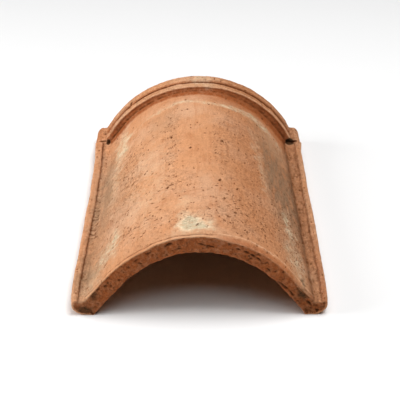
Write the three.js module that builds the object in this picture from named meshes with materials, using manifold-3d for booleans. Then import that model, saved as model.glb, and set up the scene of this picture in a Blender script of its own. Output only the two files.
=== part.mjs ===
// A half-round ridge tile of fired clay, with a channel along each side and a beaded collar.
//
// Millimetres, +Z up. The tile stands on its two feet, its ridge line runs along Y, the plain end
// faces -Y and the collar is at +Y. The origin is on the floor, midway between both ends and both
// sides. The whole tile is one lofted solid: a section across the ridge is carried along Y.

import * as THREE from 'three';
import { mergeVertices } from 'three/addons/utils/BufferGeometryUtils.js';
import Module from 'manifold-3d';

// Overall size.
const TILE_LENGTH = 388;
const TILE_WIDTH = 260; // over the lips, before they flare towards the collar

// Barrel. The crown is an arc and the flanks are straight lines tangent to it.
const PLAIN_END_CROWN = 93; // floor to the top of the arch at the plain end
const NECK_CROWN = 90.5; // floor to the top of the arch where the collar starts, without the neck's dip
const FLANK_SLOPE = THREE.MathUtils.degToRad(52);
const WALL = 17;

// Side channels and their lips.
const CHANNEL_FLOOR = 16; // floor to the bottom of the channel
const CHANNEL_FILLET = 4;
const PLAIN_END_CHANNEL = 7; // width from the flank to the lip at the plain end
const NECK_CHANNEL = 12.5; // the same at the collar, where the barrel is narrower
const LIP_HEIGHT = 2.6;
const LIP_WIDTH = 7;
const LIP_ROUND = 2;
const LIP_LEAN = 1; // run of the lip's inner side, and again of the rounding above it
const LIP_SHOULDER = 0.75; // where that rounding starts, as a share of the lip's height
const FLARE = 2; // how far each lip swings out at the collar
const FLARE_LENGTH = 75;

// Feet. Each stands on a flat strip, outside which the underside climbs to the tile's edge.
const FOOT_SETBACK = 12; // from the tile's edge to the strip
const EDGE_CLEARANCE = 5; // floor to the lower corner of the tile's edge
const EDGE_ROUND = 3;
const FOOT_ROUND = 2;

// Neck, where the crown dips in front of the collar and then sweeps up to it in a cove.
const NECK_DIP = 3.5;
const NECK_LENGTH = 38;
const COVE_LENGTH = 13;
const COVE_RISE = 3; // how much of the climb to the collar the cove takes, at the crown

// Collar: a round-fronted bead, a groove and a broad roll, with corner blocks over the lips. Its
// arch is wider and fuller than the barrel's.
const COLLAR_RISE = 4; // top of the roll above the barrel's crown, without the neck's dip
const COLLAR_LENGTH = 39;
const COLLAR_FLANK = 8; // height of the straight foot of its arch
const BEAD_DROP = 0.5; // top of the bead below the top of the roll
const BEAD_CREST = 7; // behind the collar's front, as are the next two
const GROOVE_PLACE = 19.5;
const ROLL_CREST = 24;
const GROOVE_DEPTH = 2.8; // below the top of the roll
const ROLL_BACK = 8; // run of the roll's rounded back
const ROLL_DROP = 3.5; // how far the roll falls at the end face
const BLOCK_RISE = 2; // corner blocks above the lips
const BLOCK_ROUND = 3; // along the blocks' outer edges
const CORNER_ROUND = 2.5; // of the blocks, seen from above

// Socket under the collar, which laps over the next tile.
const SOCKET_DEPTH = 6; // above the bore, at the crown
const SOCKET_FLANK = 8; // height of the straight foot of its arch
const SOCKET_LENGTH = 30;
const SOCKET_SHOULDER = 3; // length of the sloping shoulder at the socket's inner end
const SOCKET_FOOT = 9; // width that is left of each foot

// Pockets where the channels run into the collar.
const POCKET_WIDTH = 11;
const POCKET_LENGTH = 16;
const POCKET_DEPTH = 5;
const POCKET_LEAD = 2; // from the pocket's middle to the collar's front

const ARRIS = 1.3; // rounding of the edges round both end faces

// Subdivision of the curves.
const ARC_STEPS = 12;
const ROUND_STEPS = 3;
const PROFILE_STEPS = 4;
const BARREL_STEPS = 4;
const POCKET_STEPS = 10;
const CLOSEST_STATIONS = 0.15;

const halfLength = TILE_LENGTH / 2;
const collarFront = halfLength - COLLAR_LENGTH;
const lipInner = TILE_WIDTH / 2 - LIP_WIDTH;
const lipTop = CHANNEL_FLOOR + LIP_HEIGHT;
const blockTop = lipTop + BLOCK_RISE;
const collarCrown = NECK_CROWN + COLLAR_RISE;
const collarHalfBase = lipInner - CHANNEL_FILLET;
const riseFromNeck = COLLAR_RISE + NECK_DIP;
const socketHalfBase = TILE_WIDTH / 2 + FLARE - FOOT_SETBACK - SOCKET_FOOT;

const between = (start, end, share) => start + (end - start) * share;
const shareAlong = (value, start, end) => THREE.MathUtils.clamp((value - start) / (end - start), 0, 1);
const ease = (share) => THREE.MathUtils.smoothstep(share, 0, 1);

// Quarter rounds: one leaves 0 steeply and arrives level at 1, one leaves 1 level and drops steeply.
const swell = (share) => Math.sqrt(1 - (1 - share) ** 2);
const fall = (share) => Math.sqrt(1 - share ** 2);

// Values from start to end: evenly spaced, or closer together at the steep end of a quarter round.
const evenly = (start, end, steps) =>
  Array.from({ length: steps + 1 }, (_, step) => between(start, end, step / steps));
const denseAtStart = (start, end, steps) =>
  evenly(0, Math.PI / 2, steps).map((angle) => between(start, end, 1 - Math.cos(angle)));
const denseAtEnd = (start, end, steps) =>
  evenly(0, Math.PI / 2, steps).map((angle) => between(start, end, Math.sin(angle)));

// Shape of the tile along Y ------------------------------------------------------------------

// Height of the cove and the collar above the neck at the crown, as a share of their full rise.
function collarShare(y) {
  const behindFront = y - collarFront;
  const coveShare = COVE_RISE / riseFromNeck;
  const beadShare = 1 - BEAD_DROP / riseFromNeck;
  const grooveShare = 1 - GROOVE_DEPTH / riseFromNeck;
  const endShare = 1 - ROLL_DROP / riseFromNeck;
  if (behindFront < 0) {
    return coveShare * (1 - fall(shareAlong(behindFront, -COVE_LENGTH, 0)));
  }
  if (behindFront < BEAD_CREST) {
    return between(coveShare, beadShare, swell(behindFront / BEAD_CREST));
  }
  if (behindFront < GROOVE_PLACE) {
    return between(grooveShare, beadShare, fall(shareAlong(behindFront, BEAD_CREST, GROOVE_PLACE)));
  }
  if (behindFront < ROLL_CREST) {
    return between(grooveShare, 1, swell(shareAlong(behindFront, GROOVE_PLACE, ROLL_CREST)));
  }
  return between(endShare, 1, fall(shareAlong(behindFront, COLLAR_LENGTH - ROLL_BACK, COLLAR_LENGTH)));
}

// Height of the barrel's crown, and how far the neck's dip takes it down.
const barrelCrown = (y) => between(PLAIN_END_CROWN, NECK_CROWN, shareAlong(y, -halfLength, collarFront));
const neckDip = (y) => NECK_DIP * ease(shareAlong(y, collarFront - NECK_LENGTH, collarFront));

// Half the barrel's width at the channel floor.
function barrelHalfBase(y) {
  return lipInner - between(PLAIN_END_CHANNEL, NECK_CHANNEL, shareAlong(y, -halfLength, collarFront));
}

// Half the tile's width, with the lips' flare and the collar's rounded corners.
function halfWidth(y) {
  const flare = FLARE * shareAlong(y, halfLength - FLARE_LENGTH, collarFront) ** 2;
  const cornerCut = CORNER_ROUND * (1 - fall(shareAlong(y, halfLength - CORNER_ROUND, halfLength)));
  return TILE_WIDTH / 2 + flare - cornerCut;
}

// How far the underside has passed from the bore to the socket.
function socketShare(y) {
  const socketStart = halfLength - SOCKET_LENGTH;
  return shareAlong(y, socketStart - SOCKET_SHOULDER, socketStart);
}

// How far the rounded edges of the end faces draw the section in.
function arrisInset(y) {
  const distanceFromEnd = halfLength - Math.abs(y);
  return ARRIS * (1 - swell(shareAlong(distanceFromEnd, 0, ARRIS)));
}

// The places along Y where a section is drawn.
function stations() {
  const neckStart = collarFront - NECK_LENGTH;
  const flareStart = halfLength - FLARE_LENGTH;
  const all = [
    ...denseAtStart(-halfLength, -halfLength + ARRIS, ROUND_STEPS),
    ...evenly(-halfLength + ARRIS, neckStart, BARREL_STEPS),
    ...evenly(flareStart, collarFront, PROFILE_STEPS),
    ...evenly(neckStart, collarFront - COVE_LENGTH, PROFILE_STEPS),
    ...denseAtEnd(collarFront - COVE_LENGTH, collarFront, PROFILE_STEPS),
    ...denseAtStart(collarFront, collarFront + BEAD_CREST, PROFILE_STEPS),
    ...denseAtEnd(collarFront + BEAD_CREST, collarFront + GROOVE_PLACE, PROFILE_STEPS),
    ...denseAtStart(collarFront + GROOVE_PLACE, collarFront + ROLL_CREST, PROFILE_STEPS),
    halfLength - SOCKET_LENGTH - SOCKET_SHOULDER,
    halfLength - SOCKET_LENGTH,
    ...denseAtEnd(halfLength - ROLL_BACK, halfLength, PROFILE_STEPS),
    ...denseAtEnd(halfLength - ARRIS, halfLength, ROUND_STEPS),
  ].sort((a, b) => a - b);
  return all.filter((y, index) => index === all.length - 1 || all[index + 1] - y > CLOSEST_STATIONS);
}

// Shape of the tile across the ridge, as points [x, z] -----------------------------------------

// The arch whose flanks come down to halfBase at the height baseZ.
function archFor(crown, halfBase, baseZ, slope) {
  const flankRun = (crown - baseZ) / Math.tan(slope);
  const radius = (halfBase - flankRun) / Math.tan(slope / 2);
  return { radius, centreZ: crown - radius };
}

// The barrel's outside at y, without the neck's dip.
const barrelArch = (y) => archFor(barrelCrown(y), barrelHalfBase(y), CHANNEL_FLOOR, FLANK_SLOPE);

// The slope of an arch of the given height whose flanks are straight only up to flankHeight.
function slopeFor(height, halfBase, flankHeight) {
  const reach = Math.hypot(halfBase, Math.sqrt(flankHeight * (2 * height - flankHeight)));
  return 2 * Math.atan((reach - halfBase) / flankHeight);
}

// Run of a fillet or rounding of the given radius, from the corner that it takes off.
const cornerRun = (radius, slope) => radius * Math.tan(slope / 2);

// Points of an arc, from one angle to another, both measured from +Z towards +X.
function arc(centreX, centreZ, radius, startAngle, endAngle, steps) {
  return evenly(startAngle, endAngle, steps).map((angle) => [
    centreX + radius * Math.sin(angle),
    centreZ + radius * Math.cos(angle),
  ]);
}

// Points from one outline to another of as many points, each moved by the same share of its way.
function blend(from, to, share) {
  return from.map(([x, z], index) => [
    between(x, to[index][0], share),
    between(z, to[index][1], share),
  ]);
}

// Right half of an upper surface: the arch, its fillet into the floor, and the lip.
function upperHalf({ crown, halfBase, slope, floorZ, topZ, outerX, edgeRound }) {
  const { radius, centreZ } = archFor(crown, halfBase, floorZ, slope);
  return [
    ...arc(0, centreZ, radius, 0, slope, ARC_STEPS),
    ...arc(halfBase + cornerRun(CHANNEL_FILLET, slope), floorZ + CHANNEL_FILLET, CHANNEL_FILLET,
      Math.PI + slope, Math.PI, ROUND_STEPS),
    [lipInner, floorZ],
    [lipInner + LIP_LEAN, between(floorZ, topZ, LIP_SHOULDER)],
    [lipInner + 2 * LIP_LEAN, topZ],
    ...arc(outerX - edgeRound, topZ - edgeRound, edgeRound, 0, Math.PI / 2, ROUND_STEPS),
  ];
}

// Right half of an inner surface, from the foot's rounded inner edge up to the crown.
function innerHalf({ radius, centreZ, slope }) {
  const flankX = radius * Math.sin(slope);
  const flankZ = centreZ + radius * Math.cos(slope);
  const footX = flankX + flankZ / Math.tan(slope);
  return [
    ...arc(footX + cornerRun(FOOT_ROUND, slope), FOOT_ROUND, FOOT_ROUND,
      Math.PI, Math.PI + slope, ROUND_STEPS),
    ...arc(0, centreZ, radius, slope, 0, ARC_STEPS),
  ];
}

// Right half of the underside: the tile's lower edge, the foot, and the bore or the socket.
function lowerHalf(y) {
  const { radius, centreZ } = barrelArch(y);
  const bore = innerHalf({ radius: radius - WALL, centreZ, slope: FLANK_SLOPE });
  const socketCrown = barrelCrown(y) - WALL + SOCKET_DEPTH;
  const slope = slopeFor(socketCrown, socketHalfBase, SOCKET_FLANK);
  const socket = innerHalf({ ...archFor(socketCrown, socketHalfBase, 0, slope), slope });
  const underSlope = Math.atan2(EDGE_CLEARANCE, FOOT_SETBACK);
  const edgeRun = cornerRun(EDGE_ROUND, Math.PI / 2 - underSlope);
  return [
    ...arc(halfWidth(y) - EDGE_ROUND, EDGE_CLEARANCE + edgeRun, EDGE_ROUND,
      Math.PI / 2, Math.PI - underSlope, ROUND_STEPS),
    [halfWidth(y) - FOOT_SETBACK, 0],
    ...blend(bore, socket, socketShare(y)),
  ];
}

// The whole section at y, clockwise as seen from the plain end.
function sectionAt(y) {
  const outerX = halfWidth(y);
  const barrel = upperHalf({
    crown: barrelCrown(y) - neckDip(y),
    halfBase: barrelHalfBase(y),
    slope: FLANK_SLOPE,
    floorZ: CHANNEL_FLOOR,
    topZ: lipTop,
    edgeRound: LIP_ROUND,
    outerX,
  });
  const collar = upperHalf({
    crown: collarCrown,
    halfBase: collarHalfBase,
    slope: slopeFor(collarCrown - blockTop, collarHalfBase, COLLAR_FLANK),
    floorZ: blockTop,
    topZ: blockTop,
    edgeRound: BLOCK_ROUND,
    outerX,
  });
  const right = [...blend(barrel, collar, collarShare(y)), ...lowerHalf(y)];
  const left = right.slice(1, -1).reverse().map(([x, z]) => [-x, z]);
  return drawnIn([...right, ...left], arrisInset(y));
}

// A closed section with each point moved towards the inside by the same distance.
function drawnIn(section, inset) {
  return section.map(([x, z], index) => {
    const before = section.at(index - 1);
    const after = section[(index + 1) % section.length];
    const along = new THREE.Vector2(after[0] - before[0], after[1] - before[1]).normalize();
    return [x + inset * along.y, z - inset * along.x];
  });
}

// Solids -----------------------------------------------------------------------------------------

// A closed solid through equal rings of points [x, z], one ring at each place along Y.
function loftAlongY(places, rings) {
  const ringSize = rings[0].length;
  const positions = rings.flatMap((ring, row) => ring.flatMap(([x, z]) => [x, places[row], z]));
  const triangles = [];
  for (let row = 0; row < places.length - 1; row += 1) {
    for (let column = 0; column < ringSize; column += 1) {
      const here = row * ringSize + column;
      const beside = row * ringSize + ((column + 1) % ringSize);
      triangles.push(here, beside, beside + ringSize, here, beside + ringSize, here + ringSize);
    }
  }
  const firstCap = capTriangles(rings[0]);
  const lastCap = capTriangles(rings.at(-1));
  const lastRing = (places.length - 1) * ringSize;
  firstCap.forEach(([a, b, c]) => triangles.push(a, c, b));
  lastCap.forEach(([a, b, c]) => triangles.push(lastRing + a, lastRing + b, lastRing + c));
  const geometry = new THREE.BufferGeometry();
  geometry.setAttribute('position', new THREE.Float32BufferAttribute(positions, 3));
  geometry.setIndex(triangles);
  return geometry;
}

// Triangles that fill a ring, each clockwise as seen from the plain end.
function capTriangles(ring) {
  const outline = ring.map(([x, z]) => new THREE.Vector2(x, z));
  return THREE.ShapeUtils.triangulateShape(outline, []).map(([a, b, c]) => {
    const area = THREE.ShapeUtils.area([outline[a], outline[b], outline[c]]);
    return area < 0 ? [a, b, c] : [a, c, b];
  });
}

// An egg-shaped hollow at the end of one channel; side is 1 on the right and -1 on the left.
function pocket(side) {
  const geometry = new THREE.SphereGeometry(1, 2 * POCKET_STEPS, POCKET_STEPS);
  geometry.scale(POCKET_WIDTH / 2, POCKET_LENGTH / 2, POCKET_DEPTH);
  const channelMiddle = lipInner - (NECK_CHANNEL - cornerRun(CHANNEL_FILLET, FLANK_SLOPE)) / 2;
  geometry.translate(side * channelMiddle, collarFront - POCKET_LEAD, CHANNEL_FLOOR);
  return geometry;
}

// A geometry as a manifold-3d solid, and back.
function toSolid(wasm, geometry) {
  geometry.deleteAttribute('normal');
  geometry.deleteAttribute('uv');
  const merged = mergeVertices(geometry);
  return new wasm.Manifold(new wasm.Mesh({
    numProp: 3,
    vertProperties: merged.attributes.position.array,
    triVerts: new Uint32Array(merged.index.array),
  }));
}

function toGeometry(solid) {
  const { vertProperties, triVerts } = solid.getMesh();
  const geometry = new THREE.BufferGeometry();
  geometry.setAttribute('position', new THREE.BufferAttribute(vertProperties, 3));
  geometry.setIndex(new THREE.BufferAttribute(triVerts, 1));
  geometry.computeVertexNormals();
  return geometry;
}

const wasm = await Module();
wasm.setup();

const places = stations();
const body = toSolid(wasm, loftAlongY(places, places.map(sectionAt)));
const pockets = [-1, 1].map((side) => toSolid(wasm, pocket(side)));
const tileSolid = pockets.reduce((solid, hollow) => solid.subtract(hollow), body);

const clay = new THREE.MeshStandardMaterial({ color: 0xb87653, roughness: 0.92, metalness: 0 });
const tile = new THREE.Mesh(toGeometry(tileSolid), clay);
tile.name = 'ridge_tile';

const part = new THREE.Group();
part.add(tile);

export default part;
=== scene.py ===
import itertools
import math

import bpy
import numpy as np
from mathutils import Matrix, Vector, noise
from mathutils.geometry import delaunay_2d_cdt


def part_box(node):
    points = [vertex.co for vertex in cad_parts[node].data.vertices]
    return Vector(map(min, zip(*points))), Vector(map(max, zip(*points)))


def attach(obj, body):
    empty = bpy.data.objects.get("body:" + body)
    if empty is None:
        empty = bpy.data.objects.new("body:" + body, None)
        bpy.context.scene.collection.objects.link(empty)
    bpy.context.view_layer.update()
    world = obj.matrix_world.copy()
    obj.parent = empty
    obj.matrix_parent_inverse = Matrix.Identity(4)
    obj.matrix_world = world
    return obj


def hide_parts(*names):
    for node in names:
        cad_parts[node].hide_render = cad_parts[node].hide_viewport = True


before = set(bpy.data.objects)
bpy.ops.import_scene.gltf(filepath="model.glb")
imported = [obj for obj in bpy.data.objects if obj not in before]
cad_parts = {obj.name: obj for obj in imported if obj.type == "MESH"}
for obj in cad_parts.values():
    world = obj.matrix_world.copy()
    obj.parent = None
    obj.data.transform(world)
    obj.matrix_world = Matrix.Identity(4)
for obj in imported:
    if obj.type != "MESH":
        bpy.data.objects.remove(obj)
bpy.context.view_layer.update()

# A weathered clay ridge tile on a white studio floor.
#
# The tile is one dense mesh in place of the plain CAD solid. Its sections follow the solid's own
# formulas, and the marks of hand, kiln and weather are raised or sunk along its normals. Shape is
# in millimetres until the mesh is made. x runs across the tile, y along its ridge from the plain
# end to the collar, and z up from the floor.

MM = 0.001
lowest, highest = (np.array(corner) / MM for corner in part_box("ridge_tile"))

# ---- Sizes of the solid ----

# Barrel: an arc over straight flanks that are tangent to it.
HALF_LENGTH = highest[1]
FLARE = 2  # how far each lip swings out at the collar
FLARE_LENGTH = 75
HALF_WIDTH = highest[0] - FLARE
PLAIN_END_CROWN = 93  # floor to the top of the arch at the plain end
NECK_CROWN = 90.5  # the same where the collar starts, without the neck's dip
FLANK_SLOPE = math.radians(52)
WALL = 17

# Side channels and their lips.
CHANNEL_FLOOR = 16
CHANNEL_FILLET = 4
PLAIN_END_CHANNEL = 7  # width at the plain end
NECK_CHANNEL = 12.5  # width at the collar
LIP_TOP = CHANNEL_FLOOR + 2.6
LIP_INNER = HALF_WIDTH - 7
LIP_ROUND = 2
LIP_LEAN = 1
LIP_SHOULDER = 0.75  # share of the lip's height at which its inner side leans over

# Feet.
FOOT_SETBACK = 12  # from the tile's edge to the strip it stands on
EDGE_CLEARANCE = 5  # floor to the lower corner of the tile's edge
EDGE_ROUND = 3
FOOT_ROUND = 2

# Neck and cove in front of the collar.
COLLAR_FRONT = HALF_LENGTH - 39
NECK_DIP = 3.5
NECK_START = COLLAR_FRONT - 38
COVE_LENGTH = 13
COVE_RISE = 3

# Collar: a bead, a groove and a roll, with a block over each lip. Drops are below the roll's top.
COLLAR_CROWN = highest[2]
COLLAR_FLANK = 8  # height of the straight foot of its arch
COLLAR_HALF_BASE = LIP_INNER - CHANNEL_FILLET
RISE_FROM_NECK = COLLAR_CROWN - NECK_CROWN + NECK_DIP
BEAD_DROP = 0.5
BEAD_CREST = 7  # behind the collar's front, as are the next two
GROOVE_PLACE = 19.5
ROLL_CREST = 24
GROOVE_DEPTH = 2.8
ROLL_BACK = 8
ROLL_DROP = 3.5
BLOCK_TOP = LIP_TOP + 2
BLOCK_ROUND = 3
CORNER_ROUND = 2.5

# Socket under the collar.
SOCKET_START = HALF_LENGTH - 30
SOCKET_SHOULDER = 3
SOCKET_DEPTH = 6
SOCKET_FLANK = 8
SOCKET_HALF_BASE = highest[0] - FOOT_SETBACK - 9

# ---- Shares and blends ----


def between(start, end, share):
    return start + (end - start) * share


def share_along(value, start, end):
    return np.clip((value - start) / (end - start), 0, 1)


def ease(share):
    return share * share * (3 - 2 * share)


def rise(value, start, end):
    """0 before start and 1 past end, smoothly. It falls where start is the greater."""
    return ease(share_along(value, start, end))


def hump(value, middle, reach):
    """1 at the middle, and smoothly down to 0 at reach either way."""
    return ease(np.clip(1 - np.abs(value - middle) / reach, 0, 1))


def swell(share):
    """A quarter round that leaves 0 steeply and arrives level at 1."""
    return np.sqrt(1 - (1 - share) ** 2)


def fall(share):
    """A quarter round that leaves 1 level and drops steeply to 0."""
    return np.sqrt(1 - share**2)


# ---- Shape of the solid along y ----


def collar_share(y):
    behind = y - COLLAR_FRONT
    cove = COVE_RISE / RISE_FROM_NECK
    bead, groove, end = (1 - drop / RISE_FROM_NECK for drop in (BEAD_DROP, GROOVE_DEPTH, ROLL_DROP))
    if behind < 0:
        return cove * (1 - fall(share_along(behind, -COVE_LENGTH, 0)))
    if behind < BEAD_CREST:
        return between(cove, bead, swell(behind / BEAD_CREST))
    if behind < GROOVE_PLACE:
        return between(groove, bead, fall(share_along(behind, BEAD_CREST, GROOVE_PLACE)))
    if behind < ROLL_CREST:
        return between(groove, 1, swell(share_along(behind, GROOVE_PLACE, ROLL_CREST)))
    return between(end, 1, fall(share_along(y, HALF_LENGTH - ROLL_BACK, HALF_LENGTH)))


def half_width(y):
    flare = FLARE * share_along(y, HALF_LENGTH - FLARE_LENGTH, COLLAR_FRONT) ** 2
    corner_cut = CORNER_ROUND * (1 - fall(share_along(y, HALF_LENGTH - CORNER_ROUND, HALF_LENGTH)))
    return HALF_WIDTH + flare - corner_cut


# ---- Shape of the solid across the ridge, as rows of [x, z] ----

# How many steps each stretch of a section has, from the crown round to the bore's.
ARCH_STEPS = 76
FLANK_STEPS = 28
FILLET_STEPS = 4
CHANNEL_STEPS = 4
LIP_SIDE_STEPS = 3
LIP_TOP_STEPS = 3
ROUND_STEPS = 3
SIDE_STEPS = 4
FOOT_STEPS = 4
BORE_FLANK_STEPS = 12
BORE_STEPS = 22

# The step at which each stretch ends.
FLANK_FOOT = ARCH_STEPS + FLANK_STEPS
CHANNEL_STOP = FLANK_FOOT + FILLET_STEPS + CHANNEL_STEPS
LIP_CREST = CHANNEL_STOP + LIP_SIDE_STEPS
UPPER_STOP = LIP_CREST + LIP_TOP_STEPS + ROUND_STEPS
SIDE_STOP = UPPER_STOP + 2 * SIDE_STEPS
BORE_FOOT = SIDE_STOP + 2 * FOOT_STEPS
UNDER_STOP = BORE_FOOT + ROUND_STEPS


def arch_for(crown, half_base, base_z, slope):
    radius = (half_base - (crown - base_z) / math.tan(slope)) / math.tan(slope / 2)
    return radius, crown - radius


def slope_for(height, half_base, flank_height):
    reach = math.hypot(half_base, math.sqrt(flank_height * (2 * height - flank_height)))
    return 2 * math.atan((reach - half_base) / flank_height)


def arc(centre_x, centre_z, radius, start, end, steps):
    angle = np.linspace(start, end, steps + 1)
    return np.column_stack([centre_x + radius * np.sin(angle), centre_z + radius * np.cos(angle)])


def joined(*pieces):
    """One row of points through arrays of points and, between them, numbers of even steps."""
    points = [pieces[0]]
    for steps, piece in zip(pieces[1::2], pieces[2::2]):
        gap = np.linspace(points[-1][-1], np.atleast_2d(piece)[0], steps + 1)[1:-1]
        points += [gap, np.atleast_2d(piece)]
    return np.vstack(points)


def on_barrel(y, plain_end, neck):
    """A size at y that changes evenly from the plain end to the collar."""
    return between(plain_end, neck, share_along(y, -HALF_LENGTH, COLLAR_FRONT))


def barrel_half_base(y):
    return LIP_INNER - on_barrel(y, PLAIN_END_CHANNEL, NECK_CHANNEL)


def upper_half(crown, half_base, slope, floor_z, top_z, outer_x, edge_round):
    radius, centre_z = arch_for(crown, half_base, floor_z, slope)
    fillet_x = half_base + CHANNEL_FILLET * math.tan(slope / 2)
    return joined(
        arc(0, centre_z, radius, 0, slope, ARCH_STEPS), FLANK_STEPS,
        arc(fillet_x, floor_z + CHANNEL_FILLET, CHANNEL_FILLET, math.pi + slope, math.pi,
            FILLET_STEPS), CHANNEL_STEPS,
        [LIP_INNER, floor_z], LIP_SIDE_STEPS - 1,
        [LIP_INNER + LIP_LEAN, between(floor_z, top_z, LIP_SHOULDER)], 1,
        [LIP_INNER + 2 * LIP_LEAN, top_z], LIP_TOP_STEPS,
        arc(outer_x - edge_round, top_z - edge_round, edge_round, 0, math.pi / 2, ROUND_STEPS))


def inner_half(radius, centre_z, slope):
    foot_x = radius * math.sin(slope) + (centre_z + radius * math.cos(slope)) / math.tan(slope)
    foot = arc(foot_x + FOOT_ROUND * math.tan(slope / 2), FOOT_ROUND, FOOT_ROUND,
               math.pi, math.pi + slope, ROUND_STEPS)
    return joined(foot, BORE_FLANK_STEPS, arc(0, centre_z, radius, slope, 0, BORE_STEPS))


def lower_half(y):
    crown = on_barrel(y, PLAIN_END_CROWN, NECK_CROWN)
    radius, centre_z = arch_for(crown, barrel_half_base(y), CHANNEL_FLOOR, FLANK_SLOPE)
    bore = inner_half(radius - WALL, centre_z, FLANK_SLOPE)
    socket_crown = crown - WALL + SOCKET_DEPTH
    slope = slope_for(socket_crown, SOCKET_HALF_BASE, SOCKET_FLANK)
    socket = inner_half(*arch_for(socket_crown, SOCKET_HALF_BASE, 0, slope), slope)
    inner = between(bore, socket, share_along(y, SOCKET_START - SOCKET_SHOULDER, SOCKET_START))
    under_slope = math.atan2(EDGE_CLEARANCE, FOOT_SETBACK)
    edge_run = EDGE_ROUND * math.tan((math.pi / 2 - under_slope) / 2)
    edge = arc(half_width(y) - EDGE_ROUND, EDGE_CLEARANCE + edge_run, EDGE_ROUND,
               math.pi / 2, math.pi - under_slope, SIDE_STEPS)
    return joined(edge, FOOT_STEPS, [half_width(y) - FOOT_SETBACK, 0], FOOT_STEPS, inner)


def section_at(y):
    """The ring of points round the solid at y, from the crown down the right side."""
    dip = NECK_DIP * rise(y, NECK_START, COLLAR_FRONT)
    barrel = upper_half(on_barrel(y, PLAIN_END_CROWN, NECK_CROWN) - dip, barrel_half_base(y),
                        FLANK_SLOPE, CHANNEL_FLOOR, LIP_TOP, half_width(y), LIP_ROUND)
    slope = slope_for(COLLAR_CROWN - BLOCK_TOP, COLLAR_HALF_BASE, COLLAR_FLANK)
    collar = upper_half(COLLAR_CROWN, COLLAR_HALF_BASE, slope, BLOCK_TOP, BLOCK_TOP,
                        half_width(y), BLOCK_ROUND)
    right = joined(between(barrel, collar, collar_share(y)), SIDE_STEPS, lower_half(y))
    left = right[-2:0:-1] * (-1, 1)
    return np.vstack([right, left])


# ---- Noise ----

SEED = 8
NOISE_SPREAD = 3.2
LAYER_OFFSET = 13.37
NOISES = {  # height; size in mm, or across, along and up; layer; detail
    "end_arris": (0.14, 7, 0, 2),
    "rim": (0.35, 9, 1, 1),
    "hand": (0.25, (48, 85, 48), 2, 1),
    "palm": (0.1, (13, 20, 13), 3, 2),
    "lip_line": (0.2, 34, 12, 1),
    "lip_ripple": (0.05, 7, 13, 1),
    "lip_tear": (0.2, 6, 14, 2),
    "bore_edge": (0.3, 5, 18, 2),
    "strokes": (1, (2.6, 34, 2.6), 4, 2),
    "strop": (1, (20, 60, 20), 5, 1),
    "clay": (1, 2.2, 6, 2),
    "crumbs": (1, (4.5, 9, 4.5), 7, 3),
    "face_lumps": (1, 11, 8, 2),
    "face_grit": (1, 2.6, 9, 2),
    "underside": (1, (4, 7, 4), 10, 2),
    "lip": (1, (5, 9, 5), 11, 2),
    "collar_wobble": (1, (16, 9, 16), 15, 2),
    "collar_ripple": (1, (6, 4, 6), 25, 2),
    "curls": (0.6, 9, 17, 1),
    "weak_flank": (1, (2.8, 5, 2.8), 19, 2),
    "ragged_x": (2.2, 12, 20, 3),
    "ragged_y": (2.2, 12, 21, 3),
    "burr": (0.4, 9, 22, 1),
    "streaks": (1, (3, 16, 3), 23, 2),
    "soot": (1, (10, 26, 10), 24, 2),
    "face_clouds": (1, 9, 26, 3),
}


def noise_at(points, name):
    """The named noise, which spreads about its height each way. Its layer sets it apart."""
    height, size, layer, detail = NOISES[name]
    shifted = points / size + (SEED + layer) * LAYER_OFFSET
    values = [noise.fractal(point, 1, 2, detail) for point in shifted.tolist()]
    return height * NOISE_SPREAD * np.array(values)


# ---- The tile's skin ----

STRETCHES = (  # from, to and the spacing between them
    (-HALF_LENGTH + 3.8, -HALF_LENGTH + 10, 0.9),
    (-HALF_LENGTH + 10, NECK_START, 1.8),
    (NECK_START, COLLAR_FRONT - 3, 1.6),
    (COLLAR_FRONT - 3, COLLAR_FRONT + 8, 0.6),
    (COLLAR_FRONT + 8, HALF_LENGTH - 3, 1),
)
END_ROWS = np.array([0, 0.12, 0.5, 1.1, 1.9, 2.9])  # stations next to an end face, from it
CAP_SPACING = 1.2
TRIANGLES_INSIDE = 1  # what delaunay_2d_cdt is asked for
SAME_POINT = 1e-6
ROUNDING_PASSES = 14


def stations():
    body = [np.arange(start, end, step) for start, end, step in STRETCHES]
    return np.concatenate([-HALF_LENGTH + END_ROWS, *body, HALF_LENGTH - END_ROWS[::-1]])


def in_space(section, y):
    """Rows of [x, y, z] for a section's rows of [x, z]."""
    return np.column_stack([section[:, 0], np.full(len(section), y), section[:, 1]])


def drawn_in(ring, inset):
    """The ring with each point moved inward, square to the line past it."""
    along = np.roll(ring, -1, axis=0) - np.roll(ring, 1, axis=0)
    along /= np.linalg.norm(along, axis=1, keepdims=True)
    return ring + np.column_stack([along[:, 1], -along[:, 0]]) * inset[:, None]


def cap(ring):
    """Fill a ring: the points added inside it, and triangles that count them after its own."""
    grid = (np.arange(least, most, CAP_SPACING)
            for least, most in zip(ring.min(axis=0), ring.max(axis=0)))
    inner = [point for point in itertools.product(*grid)
             if np.abs(ring - point).sum(axis=1).min() > CAP_SPACING]
    points = np.array([*ring, *inner])
    here = np.arange(len(ring))
    edges = np.column_stack([here, np.roll(here, -1)]).tolist()
    _, _, triangles, origins, _, _ = delaunay_2d_cdt(
        [Vector(point) for point in points], edges, [], TRIANGLES_INSIDE, SAME_POINT)
    corners = [[origins[corner][0] for corner in triangle] for triangle in triangles]
    used, corners = np.unique(corners, return_inverse=True)
    return points[used[len(ring):]], corners.reshape(-1, 3)


def rounded(ring, weight):
    """The ring with its corners smoothed off where weight is above 0."""
    for _ in range(ROUNDING_PASSES):
        middle = (np.roll(ring, 1, axis=0) + np.roll(ring, -1, axis=0)) / 2
        ring = ring + (middle - ring) * weight[:, None]
    return ring


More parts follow.
